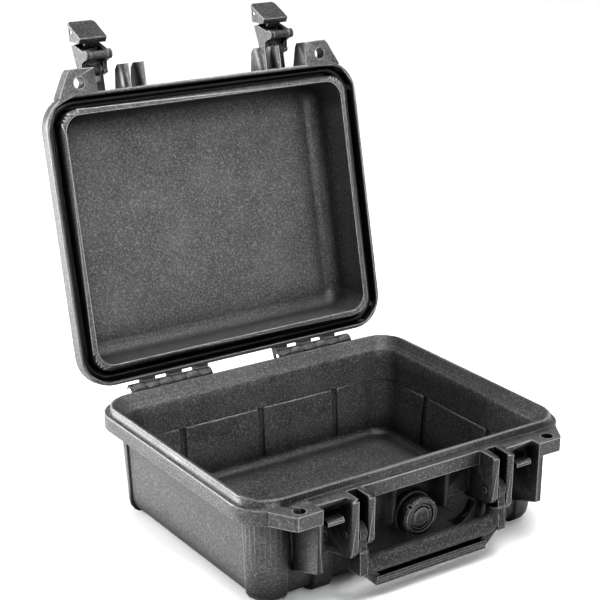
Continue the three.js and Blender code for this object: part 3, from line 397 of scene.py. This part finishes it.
class CASE_OT_finishes(bpy.types.Operator):
    """Build the shared shader groups and every finish"""

    bl_idname = "case.finishes"
    bl_label = "Finishes"

    def execute(self, context):
        sizes, finishes = context.scene.case_sizes, context.scene.case_finishes
        groups = shared_groups()
        # Each finish gets a pale edge colour, partly rubbed wear and partly painted highlight, and a reach
        # for its painted corner shade.
        moulded(FINISH_NAMES["case"], groups, finishes.shell, finishes.shell_wear_and_highlight,
                roughness=0.42, grain_size=1.1 * MM, grain_depth=sizes.grain,
                wear_and_highlight_radius=1.2 * MM, painted_shade_reach=24 * MM, mottle=0.2, fleck=3.0)
        moulded(FINISH_NAMES["fittings"], groups, finishes.fittings, finishes.fittings_wear_and_highlight,
                roughness=0.45, grain_size=1.3 * MM, grain_depth=sizes.grain * 1.3,
                wear_and_highlight_radius=1.0 * MM, painted_shade_reach=9 * MM, mottle=0.4, fleck=5.0)
        moulded(FINISH_NAMES["seal"], groups, finishes.seal, (0.03, 0.03, 0.03),
                roughness=0.5, grain_size=0.8 * MM, grain_depth=sizes.grain * 0.3,
                wear_and_highlight_radius=0.3 * MM, painted_shade_reach=5 * MM, mottle=0.2, fleck=2.6)
        moulded(FINISH_NAMES["membrane"], groups, finishes.film, (0.4, 0.4, 0.4),
                roughness=0.8, grain_size=0.3 * MM, grain_depth=sizes.grain * 0.3,
                wear_and_highlight_radius=0.3 * MM, painted_shade_reach=4 * MM, mottle=0.2, fleck=2.6)
        steel(FINISH_NAMES["steel"], groups, finishes.steel)
        return {"FINISHED"}


class CASE_OT_shells(bpy.types.Operator):
    """The base and lid shells"""

    bl_idname = "case.shells"
    bl_label = "Shells"

    def execute(self, context):
        for node in ("base_shell", "lid_shell"):
            dress(node, 0)
        return {"FINISHED"}


class CASE_OT_seal(bpy.types.Operator):
    """The ring seal in the lid's groove"""

    bl_idname = "case.seal"
    bl_label = "Seal"

    def execute(self, context):
        dress("lid_gasket", 0)
        return {"FINISHED"}


class CASE_OT_handle(bpy.types.Operator):
    """The carry handle and the soft heads of its two pins"""

    bl_idname = "case.handle"
    bl_label = "Handle"

    def execute(self, context):
        sizes = context.scene.case_sizes
        dress("carry_handle", sizes.fitting_edge)
        for side in SIDES:
            dress("handle_pin_" + side, sizes.pin_dome, 4)
        return {"FINISHED"}


class CASE_OT_latches(bpy.types.Operator):
    """Both two-part latches and their pins"""

    bl_idname = "case.latches"
    bl_label = "Latches"

    def execute(self, context):
        sizes = context.scene.case_sizes
        for side in SIDES:
            dress("latch_arm_" + side, sizes.fitting_edge)
            dress("latch_lever_" + side, sizes.fitting_edge, 3)
            dress("latch_pin_" + side, 0)
            dress("latch_lever_pin_" + side, 0)
        return {"FINISHED"}


class CASE_OT_hinges(bpy.types.Operator):
    """The hinge pins"""

    bl_idname = "case.hinges"
    bl_label = "Hinges"

    def execute(self, context):
        for side in SIDES:
            dress("hinge_pin_" + side, 0)
        return {"FINISHED"}


class CASE_OT_vent(bpy.types.Operator):
    """The pressure vent: body, slotted cap, film, seal and nut"""

    bl_idname = "case.vent"
    bl_label = "Vent"

    def execute(self, context):
        edge = context.scene.case_sizes.fitting_edge
        for node in ("vent_body", "vent_cap", "vent_nut"):
            dress(node, edge)
        for node in ("vent_membrane", "vent_seal"):
            dress(node, 0)
        return {"FINISHED"}


class CASE_OT_stage(bpy.types.Operator):
    """Floor, studio light and camera"""

    bl_idname = "case.stage"
    bl_label = "Studio"

    def execute(self, context):
        studio = context.scene.case_studio
        bpy.ops.object.select_all(action="DESELECT")
        bpy.ops.mesh.primitive_plane_add(size=FLOOR_SIZE, location=(0, 0, -FLOOR_DROP))
        floor = context.active_object
        floor.name = "studio_floor"
        ground = bpy.data.materials.new("Pale floor")
        ground.use_nodes = True
        shader = ground.node_tree.nodes["Principled BSDF"]
        shader.inputs["Base Color"].default_value = FLOOR_WHITE
        shader.inputs["Roughness"].default_value = FLOOR_ROUGHNESS
        paint(floor, ground)

        world = bpy.data.worlds.new("White studio")
        context.scene.world = world
        world.use_nodes = True
        background = world.node_tree.nodes["Background"]
        background.inputs["Color"].default_value = (1, 1, 1, 1)
        background.inputs["Strength"].default_value = studio.sky

        for name, spot, aim, size, spread in LAMPS:
            bpy.ops.object.light_add(type="AREA", location=spot)
            light = context.active_object
            light.name = name
            light.data.size = size
            light.data.spread = math.radians(spread)
            light.data.energy = getattr(studio, name.lower())
            light.rotation_euler = (Vector(aim) - Vector(spot)).to_track_quat("-Z", "Y").to_euler()

        bpy.ops.object.camera_add(location=CAMERA_PLACE)
        camera = context.active_object
        cos_e = math.cos(studio.elevation)
        look = Vector((math.sin(studio.azimuth) * cos_e, math.cos(studio.azimuth) * cos_e,
                       -math.sin(studio.elevation)))
        turn = look.to_track_quat("-Z", "Y") @ Quaternion((0, 0, 1), math.radians(CAMERA_ROLL))
        camera.rotation_euler = turn.to_euler()
        camera.data.lens = CAMERA_LENS
        camera.data.sensor_width = CAMERA_SENSOR
        camera.data.shift_x, camera.data.shift_y = CAMERA_SHIFT
        camera.data.clip_start = CAMERA_NEAR
        context.scene.camera = camera
        context.scene.view_settings.view_transform = "Standard"
        context.scene.view_settings.look = "High Contrast"
        return {"FINISHED"}


class CASE_PT_panel(bpy.types.Panel):
    """Sidebar panel of the case"""

    bl_idname = "CASE_PT_panel"
    bl_label = "Equipment Case"
    bl_space_type = "VIEW_3D"
    bl_region_type = "UI"
    bl_category = "Case"

    def draw(self, context):
        for operator in OPERATORS:
            self.layout.operator(operator.bl_idname)


GROUPS = {"case_sizes": CaseSizes, "case_finishes": CaseFinishes, "case_studio": CaseStudio}
OPERATORS = (CASE_OT_finishes, CASE_OT_shells, CASE_OT_seal, CASE_OT_handle, CASE_OT_latches,
             CASE_OT_hinges, CASE_OT_vent, CASE_OT_stage)


def register():
    for cls in (*GROUPS.values(), *OPERATORS, CASE_PT_panel):
        bpy.utils.register_class(cls)
    for name, group in GROUPS.items():
        setattr(bpy.types.Scene, name, bpy.props.PointerProperty(type=group))


def unregister():
    for name in GROUPS:
        delattr(bpy.types.Scene, name)
    for cls in (CASE_PT_panel, *reversed(OPERATORS), *reversed(GROUPS.values())):
        bpy.utils.unregister_class(cls)


def main():
    register()
    for operator in OPERATORS:
        area, name = operator.bl_idname.split(".")
        getattr(getattr(bpy.ops, area), name)()


if __name__ == "__main__":
    main()
